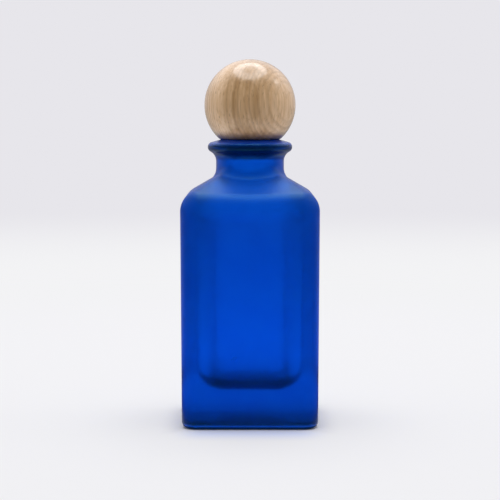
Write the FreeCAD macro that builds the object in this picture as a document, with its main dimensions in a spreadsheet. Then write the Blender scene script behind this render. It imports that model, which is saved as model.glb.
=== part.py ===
"""Square bottle of blue glass, closed by a wooden ball stopper.

The bottle stands on the XY plane with its axis on Z, and its four flat sides face X and Y.
The stopper is a turned ball glued to a short plug, which carries two soft rings in the bore.
All lengths are in millimetres and all angles in degrees.
"""
import FreeCAD
import Part
import Sketcher

import math
import os

SIZES = {
    # outside of the bottle
    "base_width": 47.1,
    "shoulder_width": 47.84,
    "side_height": 74.8,
    "corner_radius": 5.7,
    "foot_radius": 2.2,
    "shoulder_radius": 7.5,
    "shoulder_slope": 31.0,
    "neck_wall": 2.67,
    "neck_length": 5.28,
    "neck_fillet": 4.8,
    "lip_overhang": 2.93,
    "lip_radius": 1.8,
    "lip_fillet": 3.8,
    "lip_slope": 16.0,
    "lip_seat": 0.55,
    "punt_diameter": 30.0,
    "punt_depth": 1.2,
    # hollow of the bottle
    "bore_diameter": 18.5,
    "mouth_lead": 0.4,
    "side_wall": 4.9,
    "floor_thickness": 12.8,
    "cavity_drop": 4.0,
    "cavity_corner": 10.7,
    "cavity_floor_radius": 8.6,
    "cavity_shoulder_radius": 13.8,
    "bore_fillet": 6.0,
    # plug and its rings
    "plug_gap": 0.35,
    "plug_land": 0.4,
    "plug_web": 1.6,
    "plug_chamfer": 0.2,
    "core_wall": 1.6,
    "groove_depth": 0.85,
    "groove_side_gap": 0.08,
    "ring_gap": 0.05,
    "ring_height": 1.7,
    "spigot_diameter": 10.0,
    "spigot_rib": 1.6,
    "spigot_groove": 1.0,
    "spigot_groove_depth": 0.3,
    "spigot_chamfer": 0.6,
    # ball
    "ball_diameter": 32.0,
    "ball_flat_margin": 0.4,
    "ball_edge": 0.35,
    "glue_gap": 0.1,
    "socket_end_gap": 0.6,
    "drill_angle": 118.0,
}
SPIGOT_GROOVES = 3
# How far a cutting tool runs past the face that it opens.
OVERRUN = 2.0
# How near an edge's points lie to the place where the edge is looked for.
NEAR = 0.01
EDGE_SAMPLES = 5

# Sizes that follow from the driving ones, as expressions on the sheet.
BASE_HALF = "(Sizes.base_width / 2)"
SHOULDER_HALF = "(Sizes.shoulder_width / 2)"
BORE_R = "(Sizes.bore_diameter / 2)"
MOUTH_R = f"({BORE_R} + Sizes.mouth_lead)"
NECK_R = f"({BORE_R} + Sizes.neck_wall)"
LIP_CENTRE_R = f"({NECK_R} + Sizes.lip_overhang - Sizes.lip_radius)"
# Height where the sloping shoulder meets the neck in the middle of a side.
NECK_FOOT = (
    "(Sizes.side_height + Sizes.shoulder_radius * cos(Sizes.shoulder_slope)"
    f" + ({SHOULDER_HALF} - Sizes.shoulder_radius * (1 - sin(Sizes.shoulder_slope)) - {NECK_R})"
    " * tan(Sizes.shoulder_slope))"
)
NECK_TOP = f"({NECK_FOOT} + Sizes.neck_length)"
# The lip's bead and the hollow below it are two arcs that touch.
LIP_CENTRE_RISE = (
    "sqrt((Sizes.lip_radius + Sizes.lip_fillet) ^ 2"
    f" - ({NECK_R} + Sizes.lip_fillet - {LIP_CENTRE_R}) ^ 2)"
)
# The top of the lip slopes up from the bead to a narrow flat seat round the mouth.
SEAT_R = f"({MOUTH_R} + Sizes.lip_seat)"
LIP_TOP = (
    f"({NECK_TOP} + {LIP_CENTRE_RISE} + Sizes.lip_radius / cos(Sizes.lip_slope)"
    f" + ({LIP_CENTRE_R} - {SEAT_R}) * tan(Sizes.lip_slope))"
)
# The neck stands highest out of the shoulder over the flats and lowest over the corners, so the fillet
# round it is limited by the length of neck that is left over a corner.
CORNER_RISE = f"({NECK_R} * (1 - sqrt(0.5)) * tan(Sizes.shoulder_slope))"
# Rise of the shoulder along a corner, for a run of one.
CORNER_SLOPE = "(tan(Sizes.shoulder_slope) * sqrt(0.5))"
NECK_FILLET = (
    f"min(Sizes.neck_fillet; (Sizes.neck_length - {CORNER_RISE})"
    f" / (sqrt(1 + {CORNER_SLOPE} ^ 2) - {CORNER_SLOPE}))"
)

# A rounded corner has to turn inside the bend of the shoulder, and a rounded foot inside the corner.
BEND_SHARE = 0.78
CORNER_SHARE = 0.95
OUTER_CORNER = f"min(Sizes.corner_radius; {BEND_SHARE} * Sizes.shoulder_radius)"
FOOT_ROUND = f"min(Sizes.foot_radius; {CORNER_SHARE} * {OUTER_CORNER})"

# The slopes of the cavity end in a square ridge inside the bore. A corner can be rounded by RIDGE_SHARE of
# the ridge's half width.
SQUARE_IN_ROUND = 0.7
CAVITY_RIDGE_HALF = f"({SQUARE_IN_ROUND} * {BORE_R})"
RIDGE_SHARE = 1.8
CAVITY_CORNER = (
    f"min(Sizes.cavity_corner; {BEND_SHARE} * Sizes.cavity_shoulder_radius;"
    f" {RIDGE_SHARE} * {CAVITY_RIDGE_HALF})"
)
CAVITY_FLOOR_ROUND = f"min(Sizes.cavity_floor_radius; {CORNER_SHARE} * {CAVITY_CORNER})"

# The stopper is drawn from the top of the lip, up and down.
BARREL_R = f"({BORE_R} - Sizes.plug_gap)"
GROOVE_R = f"({BARREL_R} - Sizes.groove_depth)"
RING_INNER_R = f"({GROOVE_R} + Sizes.ring_gap)"
RING_OUTER_R = f"({BORE_R} - Sizes.ring_gap)"
GROOVE_WIDTH = "(Sizes.ring_height + 2 * Sizes.groove_side_gap)"
PLUG_LENGTH = f"(3 * Sizes.plug_land + 2 * {GROOVE_WIDTH})"
SPIGOT_R = "(Sizes.spigot_diameter / 2)"
SPIGOT_LENGTH = (
    f"({SPIGOT_GROOVES + 1} * Sizes.spigot_rib + {SPIGOT_GROOVES} * Sizes.spigot_groove)"
)
BALL_R = "(Sizes.ball_diameter / 2)"
BALL_FLAT_R = f"({SEAT_R} + Sizes.ball_flat_margin)"
BALL_CENTRE = f"(sqrt({BALL_R} ^ 2 - {BALL_FLAT_R} ^ 2))"

# A sketch numbers the points of a curve from 1 and its own axes from -1 down.
START, END, CENTRE = range(1, 4)
ORIGIN, UPRIGHT = range(-1, -3, -1)

doc = FreeCAD.newDocument("ball_stopper_bottle")
sheet = doc.addObject("Spreadsheet::Sheet", "Sizes")
for row, (size_name, size) in enumerate(SIZES.items(), start=1):
    sheet.set(f"A{row}", size_name)
    sheet.set(f"B{row}", str(size))
    sheet.setAlias(f"B{row}", size_name)
doc.recompute()


def value(expression):
    """Number that an expression on the sheet gives."""
    return float(sheet.evalExpression(expression))


def new_sketch(body, name, role):
    """Empty sketch on one of the body's own origin planes."""
    sketch = body.newObject("Sketcher::SketchObject", name)
    plane = next(item for item in body.Origin.OriginFeatures if item.Role == role)
    sketch.AttachmentSupport = [(plane, "")]
    sketch.MapMode = "FlatFace"
    return sketch


def bind(sketch, kind, *arguments, to):
    """Add a sketch dimension and tie it to the sheet."""
    index = sketch.addConstraint(Sketcher.Constraint(kind, *arguments))
    sketch.setExpression(f"Constraints[{index}]", to)


def pin(sketch, point, across=None, up=None):
    """Hold a point (geometry, end) at a distance from the sketch's axes."""
    if across == "0":
        sketch.addConstraint(Sketcher.Constraint("PointOnObject", *point, UPRIGHT))
    elif across is not None:
        bind(sketch, "DistanceX", ORIGIN, START, *point, value(across), to=across)
    if up == "0":
        sketch.addConstraint(Sketcher.Constraint("PointOnObject", *point, ORIGIN))
    elif up is not None:
        bind(sketch, "DistanceY", ORIGIN, START, *point, value(up), to=up)


def add_line(sketch, start, end):
    """Line between two (across, up) places, in numbers."""
    return sketch.addGeometry(Part.LineSegment(FreeCAD.Vector(*start, 0), FreeCAD.Vector(*end, 0)))


def add_arc(sketch, centre, radius, start_angle, end_angle):
    """Anticlockwise arc, with its angles in degrees."""
    circle = Part.Circle(FreeCAD.Vector(*centre, 0), FreeCAD.Vector(0, 0, 1), radius)
    return sketch.addGeometry(Part.ArcOfCircle(circle, math.radians(start_angle), math.radians(end_angle)))


def join(sketch, *pairs):
    """Make pairs of points (geometry, end, geometry, end) coincide."""
    for pair in pairs:
        sketch.addConstraint(Sketcher.Constraint("Coincident", *pair))


def touch(sketch, *pairs):
    """Make pairs of curve ends meet with one tangent."""
    for pair in pairs:
        sketch.addConstraint(Sketcher.Constraint("Tangent", *pair))


def draw_polygon(sketch, corners):
    """Closed outline of straight lines through corners given as (across, up) expressions."""
    places = [(value(across), value(up)) for across, up in corners]
    lines = [
        add_line(sketch, place, places[(index + 1) % len(places)])
        for index, place in enumerate(places)
    ]
    for index, line in enumerate(lines):
        join(sketch, (line, END, lines[(index + 1) % len(lines)], START))
        pin(sketch, (line, START), *corners[index])


def add_feature(body, kind, name, sketch=None, **bound):
    """Feature of a body, with its sizes tied to the sheet."""
    feature = body.newObject(f"PartDesign::{kind}", name)
    if sketch is not None:
        feature.Profile = sketch
    for size_name, expression in bound.items():
        feature.setExpression(size_name, expression)
    return feature


def revolve(body, name, sketch, kind="Revolution"):
    """Full turn of a sketch about its upright axis."""
    feature = add_feature(body, kind, name, sketch)
    feature.ReferenceAxis = (sketch, ["V_Axis"])
    feature.Angle = 360
    doc.recompute()
    return feature


def fillet(body, name, base, radius, chosen):
    """Round the edges of a feature whose sample points all pass the test."""
    names = [
        f"Edge{index}"
        for index, edge in enumerate(base.Shape.Edges, start=1)
        if not edge.Degenerated and all(chosen(point) for point in edge.discretize(EDGE_SAMPLES))
    ]
    if not names:
        raise RuntimeError(f"{name} finds no edge to round")
    feature = add_feature(body, "Fillet", name, Radius=radius)
    feature.Base = (base, names)
    doc.recompute()
    return feature


def on_diagonal(point):
    """Whether a point lies where two neighbouring sides meet."""
    return math.isclose(abs(point.x), abs(point.y), abs_tol=NEAR)


def at_height(expression):
    """Test for points at one height."""
    height = value(expression)
    return lambda point: math.isclose(point.z, height, abs_tol=NEAR)


def round_stem(radius, top):
    """Test for points where a round stem runs into what is below its top."""
    stem = value(radius)
    limit = value(top)
    return lambda point: (
        math.isclose(math.hypot(point.x, point.y), stem, abs_tol=NEAR) and point.z < limit - NEAR
    )


def draw_side_outline(sketch, foot, side, radius, ridge_half):
    """Outline of a square form seen from one side: foot, tapered sides, bent shoulders, slope and ridge.

    foot and side are (half width, height) expressions, radius is the bend from side to slope, and
    ridge_half is the half width at which the slope is cut off.
    """
    half, height = value(side[0]), value(side[1])
    bend = value(radius)
    slope = value("Sizes.shoulder_slope")
    turn = 90 - slope
    slope_start = (
        half - bend * (1 - math.cos(math.radians(turn))),
        height + bend * math.sin(math.radians(turn)),
    )
    ridge = value(ridge_half)
    ridge_height = slope_start[1] + (slope_start[0] - ridge) * math.tan(math.radians(slope))
    foot_place = (value(foot[0]), value(foot[1]))

    bottom = add_line(sketch, (-foot_place[0], foot_place[1]), foot_place)
    right = add_line(sketch, foot_place, (half, height))
    right_bend = add_arc(sketch, (half - bend, height), bend, 0, turn)
    right_slope = add_line(sketch, slope_start, (ridge, ridge_height))
    top = add_line(sketch, (ridge, ridge_height), (-ridge, ridge_height))
    left_slope = add_line(sketch, (-ridge, ridge_height), (-slope_start[0], slope_start[1]))
    left_bend = add_arc(sketch, (bend - half, height), bend, 180 - turn, 180)
    left = add_line(sketch, (-half, height), (-foot_place[0], foot_place[1]))

    join(
        sketch,
        (bottom, END, right, START),
        (right_slope, END, top, START),
        (top, END, left_slope, START),
        (left, END, bottom, START),
    )
    touch(
        sketch,
        (right, END, right_bend, START),
        (right_bend, END, right_slope, START),
        (left_slope, END, left_bend, START),
        (left_bend, END, left, START),
    )
    for right_end, left_end in (
        ((right, START), (left, END)),
        ((right, END), (left, START)),
        ((right_slope, END), (left_slope, START)),
    ):
        sketch.addConstraint(Sketcher.Constraint("Symmetric", *right_end, *left_end, UPRIGHT))
    sketch.addConstraint(Sketcher.Constraint("Equal", right_bend, left_bend))
    pin(sketch, (right, START), *foot)
    pin(sketch, (right, END), *side)
    bind(sketch, "Radius", right_bend, bend, to=radius)
    bind(sketch, "Angle", right_slope, math.radians(180 - slope), to="180 - Sizes.shoulder_slope")
    pin(sketch, (right_slope, END), across=ridge_half)


def build_square_form(body, foot, side, radius, ridge_half):
    """Form with the same outline from the front and from the side, so its level sections are squares."""
    front = new_sketch(body, f"{body.Name}_front", "XZ_Plane")
    draw_side_outline(front, foot, side, radius, ridge_half)
    block = add_feature(body, "Pad", f"{body.Name}_block", front, Length="2 * Sizes.shoulder_width")
    block.SideType = "Symmetric"
    doc.recompute()
    full = block.Shape.Volume

    flank = new_sketch(body, f"{body.Name}_flank", "YZ_Plane")
    draw_side_outline(flank, foot, side, radius, ridge_half)
    clear_half = "(2 * Sizes.shoulder_width)"
    draw_polygon(flank, [
        (f"-{clear_half}", f"-{clear_half}"),
        (clear_half, f"-{clear_half}"),
        (clear_half, f"(2 * {LIP_TOP})"),
        (f"-{clear_half}", f"(2 * {LIP_TOP})"),
    ])
    trim = add_feature(body, "Pocket", f"{body.Name}_trim", flank, Length="2 * Sizes.shoulder_width")
    trim.SideType = "Symmetric"
    doc.recompute()
    if trim.Shape.Volume >= full:
        raise RuntimeError(f"{body.Name} was not trimmed from the side")
    return trim


def build_bottle_outside():
    """Solid outside of the bottle: square body, shoulder, neck, rolled lip, foot and punt."""
    body = doc.addObject("PartDesign::Body", "bottle_outside")
    form = build_square_form(
        body,
        foot=(BASE_HALF, "0"),
        side=(SHOULDER_HALF, "Sizes.side_height"),
        radius="Sizes.shoulder_radius",
        ridge_half=f"({NECK_R} / 2)",
    )
    form = fillet(body, "corner_rounds", form, OUTER_CORNER, on_diagonal)

    sketch = new_sketch(body, "neck_outline", "XZ_Plane")
    neck_r, neck_top, lip_top = value(NECK_R), value(NECK_TOP), value(LIP_TOP)
    lip_r, lip_fillet = value("Sizes.lip_radius"), value("Sizes.lip_fillet")
    lip_centre = (value(LIP_CENTRE_R), neck_top + value(LIP_CENTRE_RISE))
    lip_turn = 90 - value("Sizes.lip_slope")
    slope_end = (
        lip_centre[0] + lip_r * math.cos(math.radians(lip_turn)),
        lip_centre[1] + lip_r * math.sin(math.radians(lip_turn)),
    )
    seat_r = value(SEAT_R)
    hollow_centre = (neck_r + lip_fillet, neck_top)
    lean = math.degrees(math.atan2(lip_centre[1] - hollow_centre[1], lip_centre[0] - hollow_centre[0]))
    side_height = value("Sizes.side_height")
    sole = add_line(sketch, (0, side_height), (neck_r, side_height))
    wall = add_line(sketch, (neck_r, side_height), (neck_r, neck_top))
    hollow = add_arc(sketch, hollow_centre, lip_fillet, lean, 180)
    bead = add_arc(sketch, lip_centre, lip_r, lean - 180, lip_turn)
    slope = add_line(sketch, slope_end, (seat_r, lip_top))
    seat = add_line(sketch, (seat_r, lip_top), (0, lip_top))
    axis = add_line(sketch, (0, lip_top), (0, side_height))
    join(
        sketch,
        (axis, END, sole, START),
        (sole, END, wall, START),
        (slope, END, seat, START),
        (seat, END, axis, START),
    )
    touch(
        sketch,
        (wall, END, hollow, END),
        (hollow, START, bead, START),
        (bead, END, slope, START),
    )
    pin(sketch, (sole, START), "0", "Sizes.side_height")
    pin(sketch, (wall, START), NECK_R, "Sizes.side_height")
    sketch.addConstraint(Sketcher.Constraint("Vertical", wall))
    pin(sketch, (wall, END), up=NECK_TOP)
    bind(sketch, "Radius", hollow, lip_fillet, to="Sizes.lip_fillet")
    bind(sketch, "Radius", bead, lip_r, to="Sizes.lip_radius")
    pin(sketch, (bead, CENTRE), across=LIP_CENTRE_R)
    bind(sketch, "Angle", slope, math.radians(90 + lip_turn), to="180 - Sizes.lip_slope")
    pin(sketch, (slope, END), across=SEAT_R)
    sketch.addConstraint(Sketcher.Constraint("Horizontal", seat))
    pin(sketch, (seat, END), across="0")
    form = revolve(body, "neck_and_lip", sketch)

    form = fillet(body, "neck_round", form, NECK_FILLET, round_stem(NECK_R, NECK_TOP))
    form = fillet(body, "foot_round", form, FOOT_ROUND, at_height("0"))

    sketch = new_sketch(body, "punt_outline", "XZ_Plane")
    punt_r, punt_depth = value("Sizes.punt_diameter / 2"), value("Sizes.punt_depth")
    dome_r = (punt_r ** 2 + punt_depth ** 2) / (2 * punt_depth)
    edge_angle = math.degrees(math.asin((dome_r - punt_depth) / dome_r))
    sole = add_line(sketch, (0, 0), (punt_r, 0))
    dome = add_arc(sketch, (0, punt_depth - dome_r), dome_r, edge_angle, 90)
    axis = add_line(sketch, (0, punt_depth), (0, 0))
    join(sketch, (sole, END, dome, START), (dome, END, axis, START), (axis, END, sole, START))
    pin(sketch, (sole, START), "0", "0")
    pin(sketch, (sole, END), "Sizes.punt_diameter / 2", "0")
    pin(sketch, (dome, END), "0", "Sizes.punt_depth")
    pin(sketch, (dome, CENTRE), across="0")
    before = form.Shape.Volume
    form = revolve(body, "punt", sketch, kind="Groove")
    if form.Shape.Volume >= before:
        raise RuntimeError("the punt was not cut")
    return body


def build_bottle_hollow():
    """Room inside the bottle: square cavity with rounded edges, and the bore of the neck."""
    body = doc.addObject("PartDesign::Body", "bottle_hollow")
    cavity_side_height = "(Sizes.side_height - Sizes.cavity_drop)"
    form = build_square_form(
        body,
        foot=(f"({BASE_HALF} - Sizes.side_wall)", "Sizes.floor_thickness"),
        side=(f"({SHOULDER_HALF} - Sizes.side_wall)", cavity_side_height),
        radius="Sizes.cavity_shoulder_radius",
        ridge_half=CAVITY_RIDGE_HALF,
    )
    form = fillet(body, "cavity_corner_rounds", form, CAVITY_CORNER, on_diagonal)
    floor_edge = at_height("Sizes.floor_thickness")
    form = fillet(body, "cavity_floor_round", form, CAVITY_FLOOR_ROUND, floor_edge)
    sketch = new_sketch(body, "bore_outline", "XZ_Plane")
    above = f"({LIP_TOP} + {OVERRUN})"
    draw_polygon(sketch, [
        ("0", cavity_side_height),
        (BORE_R, cavity_side_height),
        (BORE_R, f"({LIP_TOP} - Sizes.mouth_lead)"),
        (MOUTH_R, LIP_TOP),
        (MOUTH_R, above),
        ("0", above),
    ])
    form = revolve(body, "bore", sketch)
    fillet(body, "bore_round", form, "Sizes.bore_fillet", round_stem(BORE_R, NECK_TOP))
    return body


def build_glass_bottle():
    """Bottle: its outside less the room inside."""
    bottle = doc.addObject("Part::Cut", "glass_bottle")
    bottle.Base = build_bottle_outside()
    bottle.Tool = build_bottle_hollow()
    return bottle


def new_stopper_body(name):
    """Body whose origin stands on the top of the lip."""
    body = doc.addObject("PartDesign::Body", name)
    body.setExpression("Placement.Base.z", LIP_TOP)
    return body


def groove_level(number):
    """Height of a ring groove's middle below the lip, as an expression; the first is the upper one."""
    return f"(-{number} * Sizes.plug_land - {number - 0.5} * {GROOVE_WIDTH})"


def build_stopper_plug():
    """Moulded plug: cored barrel with two ring grooves, and a ribbed spigot in the ball."""
    body = new_stopper_body("stopper_plug")
    core_r = f"({GROOVE_R} - Sizes.core_wall)"
    corners = [
        ("0", "-Sizes.plug_web"),
        (core_r, "-Sizes.plug_web"),
        (core_r, f"-{PLUG_LENGTH}"),
        (f"({BARREL_R} - Sizes.plug_chamfer)", f"-{PLUG_LENGTH}"),
        (BARREL_R, f"(Sizes.plug_chamfer - {PLUG_LENGTH})"),
    ]
    for number in (2, 1):
        low = f"({groove_level(number)} - {GROOVE_WIDTH} / 2)"
        high = f"({groove_level(number)} + {GROOVE_WIDTH} / 2)"
        corners += [(BARREL_R, low), (GROOVE_R, low), (GROOVE_R, high), (BARREL_R, high)]
    corners += [
        (BARREL_R, "0"),
        (SPIGOT_R, "0"),
    ]
    groove_r = f"({SPIGOT_R} - Sizes.spigot_groove_depth)"
    for number in range(SPIGOT_GROOVES):
        low = f"({number + 1} * Sizes.spigot_rib + {number} * Sizes.spigot_groove)"
        high = f"({low} + Sizes.spigot_groove)"
        corners += [(SPIGOT_R, low), (groove_r, low), (groove_r, high), (SPIGOT_R, high)]
    corners += [
        (SPIGOT_R, f"({SPIGOT_LENGTH} - Sizes.spigot_chamfer)"),
        (f"({SPIGOT_R} - Sizes.spigot_chamfer)", SPIGOT_LENGTH),
        ("0", SPIGOT_LENGTH),
    ]
    sketch = new_sketch(body, "plug_outline", "XZ_Plane")
    draw_polygon(sketch, corners)
    revolve(body, "plug_turned", sketch)
    return body


def build_seal_ring(name, number):
    """Soft ring cut square, as it sits between the plug's groove and the bore."""
    body = new_stopper_body(name)
    low = f"({groove_level(number)} - Sizes.ring_height / 2)"
    high = f"({groove_level(number)} + Sizes.ring_height / 2)"
    sketch = new_sketch(body, f"{name}_section", "XZ_Plane")
    draw_polygon(sketch, [
        (RING_INNER_R, low),
        (RING_OUTER_R, low),
        (RING_OUTER_R, high),
        (RING_INNER_R, high),
    ])
    revolve(body, f"{name}_turned", sketch)
    return body


def build_wood_ball():
    """Turned ball with a flat seat and a drilled socket for the plug's spigot."""
    body = new_stopper_body("wood_ball")
    sketch = new_sketch(body, "ball_outline", "XZ_Plane")
    ball_r, flat_r, centre = value(BALL_R), value(BALL_FLAT_R), value(BALL_CENTRE)
    socket_r = f"({SPIGOT_R} + Sizes.glue_gap)"
    socket_top = f"({SPIGOT_LENGTH} + Sizes.socket_end_gap)"
    drill_tip = f"({socket_top} + {socket_r} / tan(Sizes.drill_angle / 2))"
    flat_angle = math.degrees(math.atan2(-centre, flat_r))
    round_side = add_arc(sketch, (0, centre), ball_r, flat_angle, 90)
    axis = add_line(sketch, (0, centre + ball_r), (0, value(drill_tip)))
    tip = add_line(sketch, (0, value(drill_tip)), (value(socket_r), value(socket_top)))
    wall = add_line(sketch, (value(socket_r), value(socket_top)), (value(socket_r), 0))
    flat = add_line(sketch, (value(socket_r), 0), (flat_r, 0))
    join(
        sketch,
        (round_side, END, axis, START),
        (axis, END, tip, START),
        (tip, END, wall, START),
        (wall, END, flat, START),
        (flat, END, round_side, START),
    )
    pin(sketch, (round_side, CENTRE), "0", BALL_CENTRE)
    pin(sketch, (round_side, END), across="0")
    bind(sketch, "Radius", round_side, ball_r, to=BALL_R)
    pin(sketch, (axis, END), "0", drill_tip)
    pin(sketch, (tip, END), socket_r, socket_top)
    pin(sketch, (wall, END), socket_r, "0")
    pin(sketch, (flat, END), up="0")
    turned = revolve(body, "ball_turned", sketch)
    rim = value(BALL_FLAT_R)
    fillet(
        body, "ball_edge_round", turned, "Sizes.ball_edge",
        lambda point: math.isclose(math.hypot(point.x, point.y), rim, abs_tol=NEAR),
    )
    return body


nodes = [
    build_glass_bottle(),
    build_wood_ball(),
    build_stopper_plug(),
    build_seal_ring("upper_seal_ring", 1),
    build_seal_ring("lower_seal_ring", 2),
]
for node in nodes:
    node.Label = node.Name
doc.recompute()

faults = [item.Name for item in doc.Objects if {"Invalid", "Error"} & set(item.State)]
faults += [node.Label for node in nodes if node.Shape.isNull() or not node.Shape.isValid()]
faults += [node.Label for node in nodes if len(node.Shape.Solids) != 1]
if faults:
    raise RuntimeError(f"these did not build: {sorted(set(faults))}")

os.makedirs("parts", exist_ok=True)
for node in nodes:
    node.Shape.exportStep(f"parts/{node.Label}.step")
    print(f"{node.Label}: {node.Shape.Volume / 1000:.2f} cm3")
print(f"height of the glass {value(LIP_TOP):.2f} mm, plug in the bore {value(PLUG_LENGTH):.2f} mm")
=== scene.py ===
"""Looks of a square bottle of satin blue glass with a wooden ball stopper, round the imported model."""

import logging
import math
from dataclasses import dataclass
from enum import Enum
from typing import Any, Callable, Optional, Union

import bmesh
import bpy
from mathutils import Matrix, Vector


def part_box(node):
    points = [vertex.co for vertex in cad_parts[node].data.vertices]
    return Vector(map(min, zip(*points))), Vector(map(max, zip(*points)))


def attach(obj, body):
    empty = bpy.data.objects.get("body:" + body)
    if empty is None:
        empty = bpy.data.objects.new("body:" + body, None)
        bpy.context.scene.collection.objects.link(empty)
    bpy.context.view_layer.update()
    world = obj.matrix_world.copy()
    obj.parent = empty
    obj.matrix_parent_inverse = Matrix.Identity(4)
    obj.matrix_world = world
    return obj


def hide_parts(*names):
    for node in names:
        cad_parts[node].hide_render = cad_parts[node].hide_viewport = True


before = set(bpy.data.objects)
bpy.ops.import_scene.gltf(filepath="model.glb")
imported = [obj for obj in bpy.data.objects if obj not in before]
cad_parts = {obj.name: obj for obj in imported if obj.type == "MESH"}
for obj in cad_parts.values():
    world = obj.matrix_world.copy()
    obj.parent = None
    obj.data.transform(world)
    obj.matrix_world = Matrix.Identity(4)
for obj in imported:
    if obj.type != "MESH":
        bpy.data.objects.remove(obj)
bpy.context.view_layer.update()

LOG = logging.getLogger("ball_stopper_bottle")
MM = 0.001
FULL_TURN = 2 * math.pi
CREASE = math.radians(35)
MERGE = 0.001 * MM
NOISE_MEAN = 0.5

Colour = tuple[float, float, float]
Place = tuple[float, float, float]
ORIGIN: Place = (0.0, 0.0, 0.0)


class Body(Enum):
    """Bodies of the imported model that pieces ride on."""

    BOTTLE = "bottle"
    SEALS = "stopper_seals"
    STOPPER = "stopper"


class Value:
    """Output socket of a node; arithmetic on it adds Math nodes."""

    def __init__(self, graph: "Graph", socket: Optional[bpy.types.NodeSocket]) -> None:
        """Keep the socket and the graph that it belongs to."""
        self.graph = graph
        self.socket = socket

    def math(self, operation: str, *others: "Operand") -> "Value":
        """Math node with this value as its first operand."""
        return self.graph.math(operation, self, *others)

    def __add__(self, other: "Operand") -> "Value":
        """Sum of two values."""
        return self.math("ADD", other)

    def __mul__(self, other: "Operand") -> "Value":
        """Product of two values."""
        return self.math("MULTIPLY", other)

    def __sub__(self, other: "Operand") -> "Value":
        """Difference of two values."""
        return self.math("SUBTRACT", other)

    def __rsub__(self, other: "Operand") -> "Value":
        """Difference with a number first."""
        return self.graph.math("SUBTRACT", other, self)

    def __truediv__(self, other: "Operand") -> "Value":
        """Quotient of two values."""
        return self.math("DIVIDE", other)

    def __rtruediv__(self, other: "Operand") -> "Value":
        """Quotient with a number first."""
        return self.graph.math("DIVIDE", other, self)

    __radd__ = __add__
    __rmul__ = __mul__


Operand = Union[Value, float]


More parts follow.
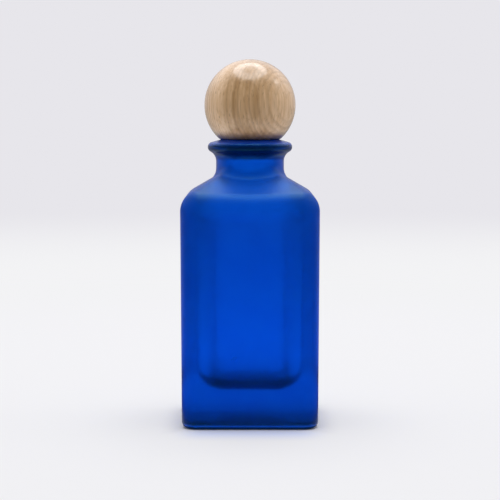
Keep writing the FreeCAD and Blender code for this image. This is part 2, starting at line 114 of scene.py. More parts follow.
class Graph:
    """Node tree of a material, a lamp or the world, empty at first."""

    def __init__(self, tree: bpy.types.NodeTree) -> None:
        """Clear the tree."""
        self.tree = tree
        tree.nodes.clear()

    def node(
        self,
        kind: str,
        settings: Optional[dict[str, Any]] = None,
        sockets: Optional[dict[Union[str, int], Any]] = None,
        output: Union[str, int] = 0,
    ) -> Value:
        """Add a node.

        Args:
            kind: type of the node.
            settings: properties, set first; "stops" gives a ramp's (place, colour) pairs.
            sockets: input sockets, by name or number, with a value or a number, colour or vector.
            output: output socket that is returned.

        Returns:
            The chosen output.
        """
        made = self.tree.nodes.new(kind)
        for name, setting in (settings or {}).items():
            if name == "stops":
                self._set_stops(made.color_ramp, setting)
            else:
                setattr(made, name, setting)
        for key, given in (sockets or {}).items():
            if isinstance(given, Value):
                self.tree.links.new(given.socket, made.inputs[key])
            else:
                made.inputs[key].default_value = given
        return Value(self, made.outputs[output] if made.outputs else None)

    @staticmethod
    def _set_stops(ramp: bpy.types.ColorRamp, stops: list[tuple[float, Colour]]) -> None:
        """Give a ramp its stops.

        Args:
            ramp: the ramp, which has two stops or fewer at first.
            stops: place and colour of each stop, in order.
        """
        while len(ramp.elements) < len(stops):
            ramp.elements.new(1.0)
        for element, (place, colour) in zip(ramp.elements, stops):
            element.position = place
            element.color = (*colour, 1.0)

    def math(self, operation: str, *operands: Operand) -> Value:
        """Math node on values or numbers."""
        return self.node("ShaderNodeMath", {"operation": operation}, dict(enumerate(operands)))

    def place(self) -> Value:
        """Object coordinates, in metres."""
        return self.node("ShaderNodeTexCoord", output="Object")

    def place_from(self, point: Place, scale: Place = (1.0, 1.0, 1.0)) -> Value:
        """Add Object coordinates that are measured from a point.

        Args:
            point: point that becomes zero.
            scale: factors of the distances from it along X, Y and Z.

        Returns:
            The coordinates.
        """
        shift = tuple(-distance * factor for distance, factor in zip(point, scale))
        sockets = {"Vector": self.place(), "Location": shift, "Scale": scale}
        return self.node("ShaderNodeMapping", None, sockets)

    def part(self, vector: Value, axis: str) -> Value:
        """One coordinate of a vector: X, Y or Z."""
        return self.node("ShaderNodeSeparateXYZ", None, {0: vector}, axis)

    def vector(
        self, operation: str, first: Any, second: Any = None, output: Union[str, int] = 0
    ) -> Value:
        """Add a Vector Math node.

        Args:
            operation: name of the node's operation.
            first: first vector.
            second: second vector, or the factor of SCALE.
            output: output socket that is returned, "Value" for a number.

        Returns:
            The chosen output.
        """
        key = "Scale" if operation == "SCALE" else 1
        sockets = {0: first} if second is None else {0: first, key: second}
        return self.node("ShaderNodeVectorMath", {"operation": operation}, sockets, output)

    def mix(self, factor: Operand, first: Any, second: Any, blend: str = "MIX") -> Value:
        """Mix two colours.

        Args:
            factor: share of the second colour.
            first: colour or value.
            second: colour or value.
            blend: blending of the Mix node.

        Returns:
            The mixed colour.
        """
        colours = [c if isinstance(c, Value) else (*c, 1.0) for c in (first, second)]
        settings = {"data_type": "RGBA", "blend_type": blend}
        return self.node("ShaderNodeMix", settings, {0: factor, 6: colours[0], 7: colours[1]}, 2)

    def mix_shaders(self, factor: Value, first: Value, second: Value) -> Value:
        """Mix Shader node; the factor is the second shader's share."""
        return self.node("ShaderNodeMixShader", None, {0: factor, 1: first, 2: second})

    def bump(
        self, height: Value, distance: float, strength: float, normal: Optional[Value] = None
    ) -> Value:
        """Add a normal that follows a height.

        Args:
            height: height of the relief, from 0 to 1.
            distance: its depth in metres.
            strength: share of it that shows.
            normal: normal that it starts from, if not the surface's own.

        Returns:
            The normal.
        """
        sockets = {"Height": height, "Distance": distance, "Strength": strength}
        if normal is not None:
            sockets["Normal"] = normal
        return self.node("ShaderNodeBump", None, sockets)

    def surface(self, sockets: dict[str, Any]) -> Value:
        """Principled shader with the given inputs."""
        return self.node("ShaderNodeBsdfPrincipled", None, sockets)

    def ray(self, kind: str) -> Value:
        """1 for rays of a kind, such as Camera or Glossy."""
        return self.node("ShaderNodeLightPath", output=f"Is {kind} Ray")

    def end(self, surface: Value, kind: str = "ShaderNodeOutputMaterial") -> None:
        """Add the output node, with the finished surface."""
        self.node(kind, None, {"Surface": surface})


@dataclass(frozen=True)
class Fade:
    """Soft change from first to last as a number goes from start to end."""

    start: float
    end: float
    first: float = 0.0
    last: float = 1.0

    def of(self, number: Value) -> Value:
        """Add the change for a number.

        Args:
            number: value that goes from start to end.

        Returns:
            The result, from first to last.
        """
        settings = {"interpolation_type": "SMOOTHSTEP"}
        sockets = {
            "Value": number,
            "From Min": self.start,
            "From Max": self.end,
            "To Min": self.first,
            "To Max": self.last,
        }
        return number.graph.node("ShaderNodeMapRange", settings, sockets)


@dataclass(frozen=True)
class Pattern:
    """Noise in a material, with its spots to the metre along X, Y and Z."""

    density: Place
    detail: float

    def on(self, graph: Graph, centre: Place = ORIGIN) -> Value:
        """Add the noise.

        Args:
            graph: graph of the material.
            centre: point that the pattern is set out from.

        Returns:
            The noise, from 0 to 1.
        """
        place = graph.place_from(centre, self.density)
        sockets = {"Vector": place, "Scale": 1.0, "Detail": self.detail}
        return graph.node("ShaderNodeTexNoise", None, sockets)


def even_pattern(size: float, detail: float) -> Pattern:
    """Pattern with spots of one size in every direction."""
    return Pattern((1 / size,) * 3, detail)


def new_material(name: str, build: Callable[[Graph], None]) -> bpy.types.Material:
    """Make a material with nodes.

    Args:
        name: the material's name.
        build: fills the material's graph.

    Returns:
        The new material.
    """
    material = bpy.data.materials.new(name)
    material.use_nodes = True
    build(Graph(material.node_tree))
    return material


@dataclass(frozen=True)
class SatinCoat:
    """Satin blue coat on the outside of the glass; the listed colours are its colours at heights above the
    foot, with painted shade at the foot and under the lip and painted light low in the body.
    """

    name: str = "blue_satin_coat"
    # Painted shading: the stops at 2.5 and 5.5 mm darken the foot and those at 94.4 and 96.8 mm darken the
    # band under the lip as painted shade; the stop at 26 mm lightens the body as painted light.
    tones_with_painted_shading: tuple[tuple[float, Colour], ...] = (
        (2.5 * MM, (0.0, 0.034, 0.36)),
        (5.5 * MM, (0.0, 0.060, 0.61)),
        (14 * MM, (0.0, 0.060, 0.62)),
        (26 * MM, (0.0, 0.090, 0.88)),
        (46 * MM, (0.0, 0.075, 0.71)),
        (74 * MM, (0.0, 0.060, 0.55)),
        (81 * MM, (0.0, 0.102, 0.66)),
        (93.4 * MM, (0.0, 0.083, 0.67)),
        (94.4 * MM, (0.0, 0.038, 0.30)),
        (96.8 * MM, (0.0, 0.042, 0.33)),
        (98.2 * MM, (0.0, 0.088, 0.80)),
    )
    tall: float = 100 * MM
    thin: Colour = (0.0, 0.16, 1.0)
    clouds: Pattern = even_pattern(11 * MM, 3.0)
    thin_share: Fade = Fade(0.35, 0.65, 0.0, 0.1)
    cloud_satin: float = 0.08
    grain: Pattern = even_pattern(0.22 * MM, 1.0)
    grain_depth: float = 0.01 * MM
    grain_strength: float = 0.5
    clearness: float = 0.82
    shine: Colour = (0.12, 0.7, 0.8)
    ior: float = 1.5
    satin: float = 0.29
    shoulder_satin: float = 0.4
    satin_rise: Fade = Fade(60 * MM, 70 * MM)
    shoulder_rise: Fade = Fade(72 * MM, 77 * MM)
    shoulder_end: Fade = Fade(87 * MM, 91 * MM, 1.0, 0.0)
    dome: float = 0.3
    dome_reach: float = 10 * MM
    lip_satin: float = 0.24
    lip_edge: Fade = Fade(96.6 * MM, 98.4 * MM)
    lip_cover: float = 0.75

    def material(self) -> bpy.types.Material:
        """Material of the outside."""
        return new_material(self.name, self._fill)

    def _fill(self, graph: Graph) -> None:
        """Add a cloudy coat with a fine grain, which is thicker and smoother on the lip.

        Args:
            graph: graph of the material.
        """
        height = graph.part(graph.place(), "Z")
        clouds = self.clouds.on(graph)
        on_lip = self.lip_edge.of(height)
        below_neck = self.shoulder_end.of(height)
        on_shoulder = self.shoulder_rise.of(height) * below_neck
        rougher = self.satin_rise.of(height) * below_neck
        satin = self.satin + rougher * (self.shoulder_satin - self.satin)
        cloudy_satin = satin + (clouds - NOISE_MEAN) * self.cloud_satin
        domed = self._domed(graph, on_shoulder)
        coat = {
            "Base Color": graph.mix(self.thin_share.of(clouds), self._tone(graph, height), self.thin),
            "Roughness": cloudy_satin - on_lip * (self.satin - self.lip_satin),
            "IOR": self.ior,
            "Specular Tint": (*self.shine, 1.0),
            "Normal": graph.bump(self.grain.on(graph), self.grain_depth, self.grain_strength, domed),
        }
        clear = graph.surface({**coat, "Transmission Weight": self.clearness})
        thick = graph.surface(coat)
        graph.end(graph.mix_shaders(on_lip * self.lip_cover, clear, thick))

    def _tone(self, graph: Graph, height: Value) -> Value:
        """Colour of the coat at a height, from the listed colours, painted shading included."""
        stops = [(level / self.tall, colour) for level, colour in self.tones_with_painted_shading]
        return graph.node("ShaderNodeValToRGB", {"stops": stops}, {0: height / self.tall})

    def _domed(self, graph: Graph, share: Value) -> Value:
        """Add a normal that leans outwards along each slope, as on a soft dome.

        Args:
            graph: graph of the material.
            share: share of the lean, from 0 to 1.

        Returns:
            The normal.
        """
        least, most = (-self.dome_reach,) * 3, (self.dome_reach,) * 3
        near = graph.vector("MINIMUM", graph.vector("MAXIMUM", graph.place(), least), most)
        normal = graph.node("ShaderNodeNewGeometry", output="Normal")
        # A slope that faces along X leans along Y, and the other way round.
        slant = graph.vector("ABSOLUTE", normal)
        turned = {"X": graph.part(slant, "Y"), "Y": graph.part(slant, "X")}
        along = graph.node("ShaderNodeCombineXYZ", None, turned)
        # A ray that leaves the glass meets the normal turned round, so the lean is turned as well.
        front = 1.0 - graph.node("ShaderNodeNewGeometry", output="Backfacing") * 2.0
        amount = share * front * (self.dome / self.dome_reach)
        lean = graph.vector("SCALE", graph.vector("MULTIPLY", near, along), amount)
        return graph.vector("NORMALIZE", graph.vector("ADD", normal, lean))


@dataclass(frozen=True)
class BareGlass:
    """Clear glass inside the bottle, with the soft waves of blown glass."""

    colour: Colour = (0.96, 0.98, 1.0)
    ior: float = 1.5
    waves: Pattern = even_pattern(14 * MM, 1.0)
    wave_depth: float = 0.25 * MM
    wave_strength: float = 0.3
    roughness: Fade = Fade(0.2, 0.8, 0.16, 0.32)

    def material(self) -> bpy.types.Material:
        """Material of the cavity and the bore."""
        return new_material("bare_glass", self._fill)

    def _fill(self, graph: Graph) -> None:
        """Add the waves.

        Args:
            graph: graph of the material.
        """
        waves = self.waves.on(graph)
        graph.end(graph.surface({
            "Base Color": (*self.colour, 1.0),
            "Roughness": self.roughness.of(waves),
            "IOR": self.ior,
            "Transmission Weight": 1.0,
            "Normal": graph.bump(waves, self.wave_depth, self.wave_strength),
        }))


@dataclass(frozen=True)
class LacqueredWood:
    """Pale open-grained wood under clear lacquer; the grain runs along Z.

    Each growth layer goes from pale early wood to darker late wood, and a broad heart is darker all through.
    """

    centre: Place
    layer_normal: Place = (0.83, -0.55, 0.06)
    layer_step: float = 1.25 * MM
    warp: Pattern = Pattern((90.0, 90.0, 26.0), 3.0)
    warp_layers: float = 2.0
    late_start: Fade = Fade(0.1, 0.7)
    late_end: Fade = Fade(0.7, 1.0, 1.0, 0.0)
    late_least: float = 0.02
    late_spread: float = 0.5
    dark: Colour = (0.38, 0.21, 0.085)
    fibres: Pattern = Pattern((1300.0, 1300.0, 45.0), 3.0)
    fibre_share: Fade = Fade(0.32, 0.68)
    pale: Colour = (0.97, 0.675, 0.41)
    mid: Colour = (0.83, 0.54, 0.29)
    heart_place: float = 6.3 * MM
    heart_edge: Fade = Fade(2.1 * MM, 10.5 * MM, 1.0, 0.0)
    heart: Colour = (0.49, 0.275, 0.10)
    streaks: Pattern = Pattern((480.0, 480.0, 14.0), 2.0)
    streak_share: Fade = Fade(0.3, 0.7, 0.45, 0.95)
    pores: Pattern = Pattern((2600.0, 2600.0, 190.0), 1.0)
    pore_edge: Fade = Fade(0.6, 0.72)
    pore_early: float = 0.4
    pore_share: float = 0.5
    pore_depth: float = 0.03 * MM
    pore_strength: float = 0.35
    pore: Colour = (0.25, 0.14, 0.06)
    # Painted shade near the seat: how far up it reaches, and the dark colour that it multiplies in.
    painted_seat_shade_band: Fade = Fade(-12 * MM, -8.8 * MM, 0.85, 0.0)
    painted_seat_shade_colour: Colour = (0.16, 0.18, 0.27)
    roughness: Fade = Fade(0.2, 0.8, 0.42, 0.55)
    gloss: float = 0.4
    lacquer_roughness: float = 0.17
    lacquer_ior: float = 1.62

    def material(self) -> bpy.types.Material:
        """Material of the ball."""
        return new_material("lacquered_wood", self._fill)

    def _fill(self, graph: Graph) -> None:
        """Add growth layers, a darker heart, fibres and pores, painted shade towards the seat, and the
        lacquer over them.

        Args:
            graph: graph of the material.
        """
        from_centre = graph.place_from(self.centre)
        across = graph.vector("DOT_PRODUCT", from_centre, self.layer_normal, "Value")
        warp = (self.warp.on(graph, self.centre) - NOISE_MEAN) * self.warp_layers
        layer = across / self.layer_step + warp
        within = layer.math("FRACT")
        late = self.late_start.of(within) * self.late_end.of(within)
        fibres = self.fibres.on(graph, self.centre)
        in_pores = self.pore_edge.of(self.pores.on(graph, self.centre))
        pores = in_pores * (late * (1.0 - self.pore_early) + self.pore_early)

        ground = graph.mix(self.fibre_share.of(fibres), self.pale, self.mid)
        hearted = graph.mix(self._heart_share(graph, across), ground, self.heart)
        layered = graph.mix(late * self._layer_depth(graph, layer), hearted, self.dark)
        grained = graph.mix(pores * self.pore_share, layered, self.pore)
        # Painted shade: the wood is darker in its lowest few millimetres towards the seat, where the lip
        # shades it.
        painted_seat_shade = self.painted_seat_shade_band.of(graph.part(from_centre, "Z"))
        graph.end(graph.surface({
            "Base Color": graph.mix(painted_seat_shade, grained, self.painted_seat_shade_colour, "MULTIPLY"),
            "Roughness": self.roughness.of(fibres),
            "Specular IOR Level": self.gloss,
            "Coat Weight": 1.0,
            "Coat Roughness": self.lacquer_roughness,
            "Coat IOR": self.lacquer_ior,
            "Normal": graph.bump(1.0 - pores, self.pore_depth, self.pore_strength),
        }))

    def _heart_share(self, graph: Graph, across: Value) -> Value:
        """Share of the heart's colour, with streaks along the grain."""
        streaks = self.streak_share.of(self.streaks.on(graph, self.centre))
        return self.heart_edge.of((across - self.heart_place).math("ABSOLUTE")) * streaks

    def _layer_depth(self, graph: Graph, layer: Value) -> Value:
        """Add the depth of a layer's dark wood, which differs from layer to layer.

        Args:
            graph: graph of the material.
            layer: place among the layers, where each whole number starts one.

        Returns:
            The depth, from 0 to 1.
        """
        number = {"W": layer.math("FLOOR")}
        chance = graph.node("ShaderNodeTexWhiteNoise", {"noise_dimensions": "1D"}, number)
        return chance * self.late_spread + self.late_least


@dataclass(frozen=True)
class MouldedPlastic:
    """Dark plastic as it comes from the mould."""

    colour: Colour = (0.012, 0.012, 0.014)
    speckle: Colour = (0.02, 0.02, 0.022)
    texture: Pattern = Pattern((4000.0,) * 3, 2.0)
    speckle_share: Fade = Fade(0.4, 0.7)
    texture_depth: float = 0.02 * MM
    texture_strength: float = 0.3
    roughness: Fade = Fade(0.2, 0.8, 0.36, 0.5)

    def material(self) -> bpy.types.Material:
        """Material of the plug."""
        return new_material("dark_moulded_plastic", self._fill)

    def _fill(self, graph: Graph) -> None:
        """Add the fine matt texture of the mould.

        Args:
            graph: graph of the material.
        """
        texture = self.texture.on(graph)
        graph.end(graph.surface({
            "Base Color": graph.mix(self.speckle_share.of(texture), self.colour, self.speckle),
            "Roughness": self.roughness.of(texture),
            "Normal": graph.bump(texture, self.texture_depth, self.texture_strength),
        }))


@dataclass(frozen=True)
class SoftRubber:
    """Matt dark rubber."""

    colour: Colour = (0.016, 0.016, 0.017)
    bloom: Colour = (0.035, 0.034, 0.033)
    skin: Pattern = Pattern((900.0,) * 3, 3.0)
    bloom_share: Fade = Fade(0.45, 0.75)
    skin_depth: float = 0.02 * MM
    skin_strength: float = 0.2
    roughness: Fade = Fade(0.2, 0.8, 0.62, 0.8)

    def material(self) -> bpy.types.Material:
        """Material of the seal rings."""
        return new_material("seal_rubber", self._fill)

    def _fill(self, graph: Graph) -> None:
        """Add a faint bloom on the matt skin.

        Args:
            graph: graph of the material.
        """
        skin = self.skin.on(graph)
        graph.end(graph.surface({
            "Base Color": graph.mix(self.bloom_share.of(skin), self.colour, self.bloom),
            "Roughness": self.roughness.of(skin),
            "Normal": graph.bump(skin, self.skin_depth, self.skin_strength),
        }))


class Section:
    """Half section that is drawn in the XZ plane and turned about Z."""

    def __init__(self, radius: float, height: float) -> None:
        """Start the section at one point."""
        self.mesh = bmesh.new()
        self.tip = self.mesh.verts.new((radius, 0.0, height))

    def line_to(self, radius: float, height: float) -> "Section":
        """Draw a straight line.

        Args:
            radius: distance of its end from the axis.
            height: height of its end.

        Returns:
            The section itself.
        """
        self.tip = bmesh.ops.extrude_vert_indiv(self.mesh, verts=[self.tip])["verts"][0]
        self.tip.co = (radius, 0.0, height)
        return self

    def arc(self, radius: float, height: float, angle: float, steps: int) -> "Section":
        """Draw an arc.

        Args:
            radius: distance of its centre from the axis.
            height: height of its centre.
            angle: turn in radians, clockwise with X to the right and Z up.
            steps: lines that it is made of.

        Returns:
            The section itself.
        """
        spun = bmesh.ops.spin(
            self.mesh, geom=[self.tip], cent=(radius, 0.0, height), axis=(0.0, 1.0, 0.0),
            angle=angle, steps=steps,
        )
        self.tip = next(item for item in spun["geom_last"] if isinstance(item, bmesh.types.BMVert))
        return self

    def groove(self, radius: float, floor: float, low: float, width: float) -> float:
        """Draw up a wall and round the groove in it.

        Args:
            radius: radius of the wall.
            floor: radius of the groove's floor.
            low: height of its lower side.
            width: its width.

        Returns:
            Height of its upper side.
        """
        high = low + width
        self.line_to(radius, low).line_to(floor, low).line_to(floor, high).line_to(radius, high)
        return high

    def close(self) -> "Section":
        """Join the last point to the first.

        Returns:
            The section itself.
        """
        self.mesh.verts.ensure_lookup_table()
        self.mesh.edges.new((self.tip, self.mesh.verts[0]))
        return self

    def turned(self, steps: int) -> bmesh.types.BMesh:
        """Turn the section into a closed form.

        Args:
            steps: flats round the form.

        Returns:
            The form, with its normals outwards.
        """
        geometry = self.mesh.verts[:] + self.mesh.edges[:]
        bmesh.ops.spin(
            self.mesh, geom=geometry, cent=ORIGIN, axis=(0.0, 0.0, 1.0),
            angle=FULL_TURN, steps=steps, use_merge=True,
        )
        bmesh.ops.remove_doubles(self.mesh, verts=self.mesh.verts, dist=MERGE)
        bmesh.ops.recalc_face_normals(self.mesh, faces=self.mesh.faces)
        return self.mesh


def sharp_edges(form: bmesh.types.BMesh, angle: float) -> list[bmesh.types.BMEdge]:
    """Edges whose faces meet at more than an angle, in degrees."""
    return [edge for edge in form.edges if edge.calc_face_angle(0.0) > math.radians(angle)]


def ease_edges(form: bmesh.types.BMesh, width: float, segments: int = 3, angle: float = 30.0) -> None:
    """Round the sharp edges of a form.

    Args:
        form: the form to change.
        width: width of the rounding, in metres.
        segments: strips across it.
        angle: least angle of a sharp edge, in degrees.
    """
    bmesh.ops.bevel(
        form, geom=sharp_edges(form, angle), offset=width, segments=segments, profile=0.5,
        affect="EDGES", material=-1, clamp_overlap=True,
    )


def add_piece(
    name: str,
    form: bmesh.types.BMesh,
    finishes: list[bpy.types.Material],
    body: Body,
    node: str,
    slot: str,
) -> bpy.types.Object:
    """Make a form a piece of the object that stands for a node.

    Args:
        name: the piece's name.
        form: its mesh, which is used up.
        finishes: its materials, in the order of its faces' numbers.
        body: body that it rides on.
        node: node that it stands for.
        slot: the record's material slot; not used.

    Returns:
        The new object.
    """
    mesh = bpy.data.meshes.new(name)
    form.to_mesh(mesh)
    form.free()
    mesh.shade_smooth()
    mesh.set_sharp_from_angle(angle=CREASE)
    for finish in finishes:
        mesh.materials.append(finish)
    piece = bpy.data.objects.new(name, mesh)
    bpy.context.scene.collection.objects.link(piece)
    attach(piece, body.value)
    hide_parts(node)
    LOG.info("%s: %d faces on %s", name, len(mesh.polygons), body.value)
    return piece


class GlassFace(Enum):
    """Kinds of face on the glass, as places in its list of finishes."""

    OUTSIDE = 0
    INSIDE = 1
    SOLE = 2


@dataclass
class GlassBottle:
    """Moulded bottle with its cavity."""

    node: str = "glass_bottle"
    slot: str = "blue_glass"
    weld: float = 0.002 * MM
    sole_height: float = 2.2 * MM
    floor_height: float = 30 * MM
    level_face: float = 0.5
    outside: SatinCoat = SatinCoat()
    inside: BareGlass = BareGlass()
    # The sole's dark, nearly opaque colour is painted shade, which stands for the shaded floor seen through
    # the foot.
    sole: SatinCoat = SatinCoat(
        name="sole_with_painted_shade",
        tones_with_painted_shading=((0.0, (0.0, 0.03, 0.16)), (2 * MM, (0.0, 0.034, 0.18))),
        thin=(0.0, 0.06, 0.3), clearness=0.05, satin=0.9,
    )

    def build(self) -> bpy.types.Object:
        """Add the shell, as a welded copy of the node.

        Returns:
            The shell.
        """
        shell = bmesh.new()
        shell.from_mesh(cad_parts[self.node].data)
        bmesh.ops.remove_doubles(shell, verts=shell.verts, dist=self.weld)
        for face in shell.faces:
            face.material_index = self._kind(face).value
        finishes = [finish.material() for finish in (self.outside, self.inside, self.sole)]
        piece = add_piece("bottle_shell", shell, finishes, Body.BOTTLE, self.node, self.slot)
        weighted = piece.modifiers.new("even_normals", "WEIGHTED_NORMAL")
        weighted.keep_sharp = True
        return piece

    def _kind(self, face: bmesh.types.BMFace) -> GlassFace:
        """Tell a face's kind from its place and from the side that it points to.

        Args:
            face: face of the shell.

        Returns:
            The kind.
        """
        middle, normal = face.calc_center_median(), face.normal
        if middle.z < self.sole_height and normal.z < -self.level_face:
            return GlassFace.SOLE
        inwards = normal.x * middle.x + normal.y * middle.y < 0
        floor = normal.z > self.level_face and middle.z < self.floor_height
        inside = middle.z > self.sole_height and (inwards or floor)
        return GlassFace.INSIDE if inside else GlassFace.OUTSIDE


@dataclass
class WoodBall:
    """Turned ball with a flat seat and a blind socket for the plug's spigot."""

    node: str = "wood_ball"
    slot: str = "ball_wood"
    radius: float = 16 * MM
    seat_radius: float = 10.6 * MM
    socket_radius: float = 5.1 * MM
    socket_depth: float = 10 * MM
    drill_angle: float = 118.0
    edge: float = 0.5 * MM
    arc_steps: int = 72
    steps: int = 128

    def build(self) -> bpy.types.Object:
        """Add the ball.

        Returns:
            The ball.
        """
        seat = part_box(self.node)[0].z
        centre = seat + math.sqrt(self.radius ** 2 - self.seat_radius ** 2)
        turn = math.pi - math.asin(self.seat_radius / self.radius)
        socket_end = seat + self.socket_depth
        tip = socket_end + self.socket_radius / math.tan(math.radians(self.drill_angle / 2))
        section = Section(0.0, centre + self.radius).arc(0.0, centre, turn, self.arc_steps)
        section.line_to(self.socket_radius, seat)
        section.line_to(self.socket_radius, socket_end)
        section.line_to(0.0, tip)
        ball = section.turned(self.steps)
        ease_edges(ball, self.edge)
        finish = LacqueredWood(centre=(0.0, 0.0, centre))
        return add_piece("ball", ball, [finish.material()], Body.STOPPER, self.node, self.slot)


@dataclass
class StopperPlug:
    """Moulded plug: cored barrel with two ring grooves, and a ribbed spigot."""

    node: str = "stopper_plug"
    slot: str = "plug_plastic"
    barrel_radius: float = 8.9 * MM
    groove_radius: float = 8.05 * MM
    groove_width: float = 1.86 * MM
    grooves: int = 2
    land: float = 0.4 * MM
    core_radius: float = 6.45 * MM
    web: float = 1.6 * MM
    chamfer: float = 0.2 * MM
    spigot_radius: float = 5 * MM
    spigot_groove_radius: float = 4.7 * MM
    rib: float = 1.6 * MM
    rib_gap: float = 1 * MM
    spigot_grooves: int = 3
    spigot_chamfer: float = 0.6 * MM
    edge: float = 0.1 * MM
    edge_segments: int = 2
    steps: int = 96

    def build(self) -> bpy.types.Object:
        """Add the plug.

        Returns:
            The plug.
        """
        bottom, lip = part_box(self.node)[0].z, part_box("glass_bottle")[1].z
        section = Section(0.0, lip - self.web)
        section.line_to(self.core_radius, lip - self.web)
        section.line_to(self.core_radius, bottom)
        section.line_to(self.barrel_radius - self.chamfer, bottom)
        section.line_to(self.barrel_radius, bottom + self.chamfer)
        height = bottom + self.land
        for _ in range(self.grooves):
            top = section.groove(self.barrel_radius, self.groove_radius, height, self.groove_width)
            height = top + self.land
        section.line_to(self.barrel_radius, lip)
        section.line_to(self.spigot_radius, lip)
        height = lip + self.rib
        for _ in range(self.spigot_grooves):
            top = section.groove(self.spigot_radius, self.spigot_groove_radius, height, self.rib_gap)
            height = top + self.rib
        section.line_to(self.spigot_radius, height - self.spigot_chamfer)
        section.line_to(self.spigot_radius - self.spigot_chamfer, height)
        section.line_to(0.0, height)
        plug = section.turned(self.steps)
        ease_edges(plug, self.edge, self.edge_segments)
        return add_piece("plug", plug, [MouldedPlastic().material()], Body.STOPPER, self.node, self.slot)


@dataclass
class SealRings:
    """Two square-cut rings in the plug's grooves, squeezed flat against the bore."""

    nodes: tuple[str, ...] = ("upper_seal_ring", "lower_seal_ring")
    slot: str = "seal_rubber"
    inner_radius: float = 8.1 * MM
    squeeze: float = 0.07 * MM
    edge: float = 0.1 * MM
    steps: int = 96

    def build(self) -> None:
        """Add the rings."""
        finish = SoftRubber().material()
        for node in self.nodes:
            low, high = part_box(node)
            outer = high.x + self.squeeze
            section = Section(self.inner_radius, low.z).line_to(outer, low.z).line_to(outer, high.z)
            ring = section.line_to(self.inner_radius, high.z).close().turned(self.steps)
            ease_edges(ring, self.edge)
            add_piece(node.replace("seal_ring", "ring"), ring, [finish], Body.SEALS, node, self.slot)


@dataclass(frozen=True)
class Lamp:
    """Oval lamp overhead, facing down, with its level and the share of it in the middle."""

    name: str
    place: Place
    size: tuple[float, float]
    level: float
    middle: float = 1.0
    middle_edge: tuple[float, float] = (0.3, 0.5)

    def build(self) -> None:
        """Add the lamp."""
        light = bpy.data.lights.new(self.name, "AREA")
        light.shape = "ELLIPSE"
        light.size, light.size_y = self.size
        light.energy = math.pi * self.size[0] * self.size[1]
        light.use_nodes = True
        self._fill(Graph(light.node_tree))
        holder = bpy.data.objects.new(self.name, light)
        holder.location = self.place
        bpy.context.scene.collection.objects.link(holder)

    def _fill(self, graph: Graph) -> None:
        """Add the level, which may be lower in the middle.

        Args:
            graph: graph of the lamp.
        """
        spot = graph.node("ShaderNodeNewGeometry", output="Position")
        to_unit = (2 / self.size[0], 2 / self.size[1], 0.0)
        oval = graph.vector("MULTIPLY", graph.vector("SUBTRACT", spot, self.place), to_unit)
        level = Fade(*self.middle_edge, self.level * self.middle, self.level)
        strength = level.of(graph.vector("LENGTH", oval, output="Value"))
        glow = graph.node("ShaderNodeEmission", None, {"Strength": strength})
        graph.end(glow, "ShaderNodeOutputLight")


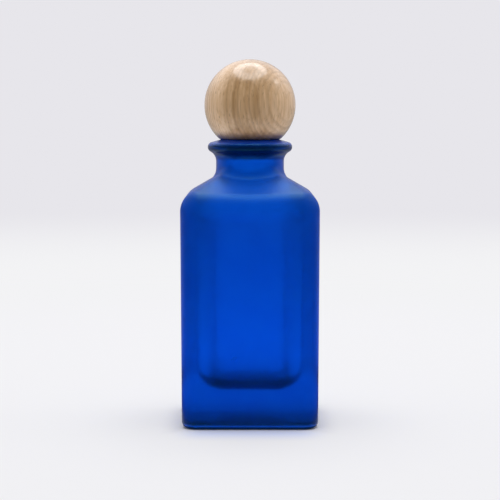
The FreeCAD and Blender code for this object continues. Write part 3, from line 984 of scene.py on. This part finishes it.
@dataclass
class Studio:
    """Pale stage, soft overhead light and the camera.

    The world has one level for the light on matt things (lit), one for what is mirrored (mirrored) and one
    for what is seen through the glass (seen); each changes with the direction.
    """

    backdrop: Colour = (0.80, 0.79, 0.83)
    lit: Fade = Fade(-0.9, 0.1, 0.15, 0.75)
    mirrored: Fade = Fade(0.0, 0.8, 0.05, 0.6)
    mirrored_sky: Fade = Fade(0.15, 0.55, 0.0, 0.9)
    sky_depth: Fade = Fade(-0.3, 0.2)
    seen_ahead: Fade = Fade(0.6, 0.98, 0.1, 1.48)
    seen_aside: Fade = Fade(0.9, 1.0, 0.0, 0.35)
    seen_above: Fade = Fade(0.15, 0.5, 0.0, 1.4)
    lamps: tuple[Lamp, ...] = (
        Lamp("oval_lamp", (0.0, 0.23, 1.25), (1.16, 1.52), 2.7, middle=0.3),
        Lamp("side_lamp", (1.315, 0.245, 1.25), (0.5, 0.4), 2.0),
    )
    floor_radius: float = 3.0
    floor_sides: int = 96
    paper: Colour = (0.80, 0.80, 0.815)
    paper_glow: float = 0.55
    paper_edge: Fade = Fade(0.25, 0.5)
    lit_paper: Colour = (0.895, 0.895, 0.91)
    sweep: Fade = Fade(0.55, 1.3)
    foot_edge: Fade = Fade(0.020, 0.032)
    # Painted light: a pale blue pool on the paper just in front of the foot, for the light that the glass
    # passes onto the floor.
    painted_blue_pool: Colour = (0.5, 0.6, 0.95)
    painted_pool_back: Fade = Fade(0.0, -0.01)
    painted_pool_front: Fade = Fade(-0.024, -0.044, 1.0, 0.0)
    painted_pool_side: Fade = Fade(0.016, 0.028, 1.0, 0.0)
    table_edge: Fade = Fade(0.028, 0.05)
    table_gloss: Fade = Fade(0.0, 0.15, 0.05, 0.4)
    shallow: Fade = Fade(0.75, 1.0)
    camera_distance: float = 0.600
    camera_height: float = 0.1091
    camera_pitch: float = 4.67
    lens: float = 122.6

    def build(self) -> None:
        """Add the stage, the light and the camera."""
        self._build_floor()
        self._build_world()
        for lamp in self.lamps:
            lamp.build()
        self._build_camera()
        bpy.context.scene.view_settings.view_transform = "Standard"

    def _build_floor(self) -> None:
        """Add the floor, which fades into the backdrop far from the object."""
        disc = bmesh.new()
        bmesh.ops.create_circle(disc, cap_ends=True, segments=self.floor_sides, radius=self.floor_radius)
        mesh = bpy.data.meshes.new("floor")
        disc.to_mesh(mesh)
        disc.free()
        finish = new_material("pale_floor", self._fill_floor)
        finish.cycles.emission_sampling = "NONE"
        mesh.materials.append(finish)
        floor = bpy.data.objects.new("floor", mesh)
        bpy.context.scene.collection.objects.link(floor)

    def _fill_floor(self, graph: Graph) -> None:
        """Add matt paper near the object with a painted pool of blue light just in front of the foot, and
        further out even light that turns into the backdrop.

        Args:
            graph: graph of the floor's material.
        """
        place = graph.place()
        depth = graph.part(place, "Y")
        away = graph.vector("LENGTH", place, output="Value")
        sides = graph.vector("ABSOLUTE", place)
        aside, along = graph.part(sides, "X"), graph.part(sides, "Y")

        # Painted light: the blue pool in front of the foot, mixed into the paper's glow.
        painted_pool_along = self.painted_pool_front.of(depth) * self.painted_pool_back.of(depth)
        painted_pool_share = painted_pool_along * self.painted_pool_side.of(aside)
        near = graph.mix(painted_pool_share, self.lit_paper, self.painted_blue_pool)
        far = graph.mix(self.sweep.of(away), near, self.backdrop)
        glow = graph.node("ShaderNodeEmission", None, {"Color": far})
        paper = graph.node("ShaderNodeBsdfDiffuse", None, {"Color": (*self.paper, 1.0)})
        even = self.foot_edge.of(aside.math("MAXIMUM", along)) * self.paper_glow
        even_far = self.paper_edge.of(away) * (1.0 - self.paper_glow)
        table = graph.mix_shaders(even + even_far, paper, glow)

        # Mirrored rays that meet the table at a shallow angle find it dim, so that no veil lies on the glass.
        reach = away / graph.node("ShaderNodeLightPath", output="Ray Length")
        shallow = self.shallow.of(reach) * self.table_edge.of(away)
        mirrored = graph.ray("Glossy") * graph.ray("Reflection") * shallow
        gloss = {"Color": (*self.paper, 1.0), "Strength": self.table_gloss.of(depth)}
        graph.end(graph.mix_shaders(mirrored, table, graph.node("ShaderNodeEmission", None, gloss)))

    def _build_world(self) -> None:
        """Add light all round, dim from the open front, seen as an even backdrop."""
        world = bpy.data.worlds.new("studio")
        world.use_nodes = True
        bpy.context.scene.world = world
        graph = Graph(world.node_tree)
        direction = graph.node("ShaderNodeTexCoord", output="Generated")
        across, depth, up = (graph.part(direction, axis) for axis in "XYZ")
        mirrored = self.mirrored.of(depth) + self.mirrored_sky.of(up) * self.sky_depth.of(depth)
        ahead, aside = depth.math("ABSOLUTE"), across.math("ABSOLUTE")
        seen = self.seen_ahead.of(ahead) + self.seen_aside.of(aside) + self.seen_above.of(up)
        strength: Operand = self.lit.of(depth)
        # A ray through glass is a glossy one too, so its level comes after that of mirrored rays.
        for kind, level in (("Glossy", mirrored), ("Transmission", seen), ("Camera", 1.0)):
            strength = strength + graph.ray(kind) * (level - strength)
        light = {"Color": (*self.backdrop, 1.0), "Strength": strength}
        graph.end(graph.node("ShaderNodeBackground", None, light), "ShaderNodeOutputWorld")

    def _build_camera(self) -> None:
        """Add the camera in front of the bottle, a little above its neck."""
        camera = bpy.data.cameras.new("camera")
        camera.lens = self.lens
        holder = bpy.data.objects.new("camera", camera)
        holder.location = (0.0, -self.camera_distance, self.camera_height)
        holder.rotation_euler = (math.radians(90 - self.camera_pitch), 0.0, 0.0)
        bpy.context.scene.collection.objects.link(holder)
        bpy.context.scene.camera = holder


def main() -> None:
    """Build the object and its stage."""
    logging.basicConfig(level=logging.INFO, format="%(name)s: %(message)s")
    GlassBottle().build()
    WoodBall().build()
    StopperPlug().build()
    SealRings().build()
    Studio().build()


if __name__ == "__main__":
    main()
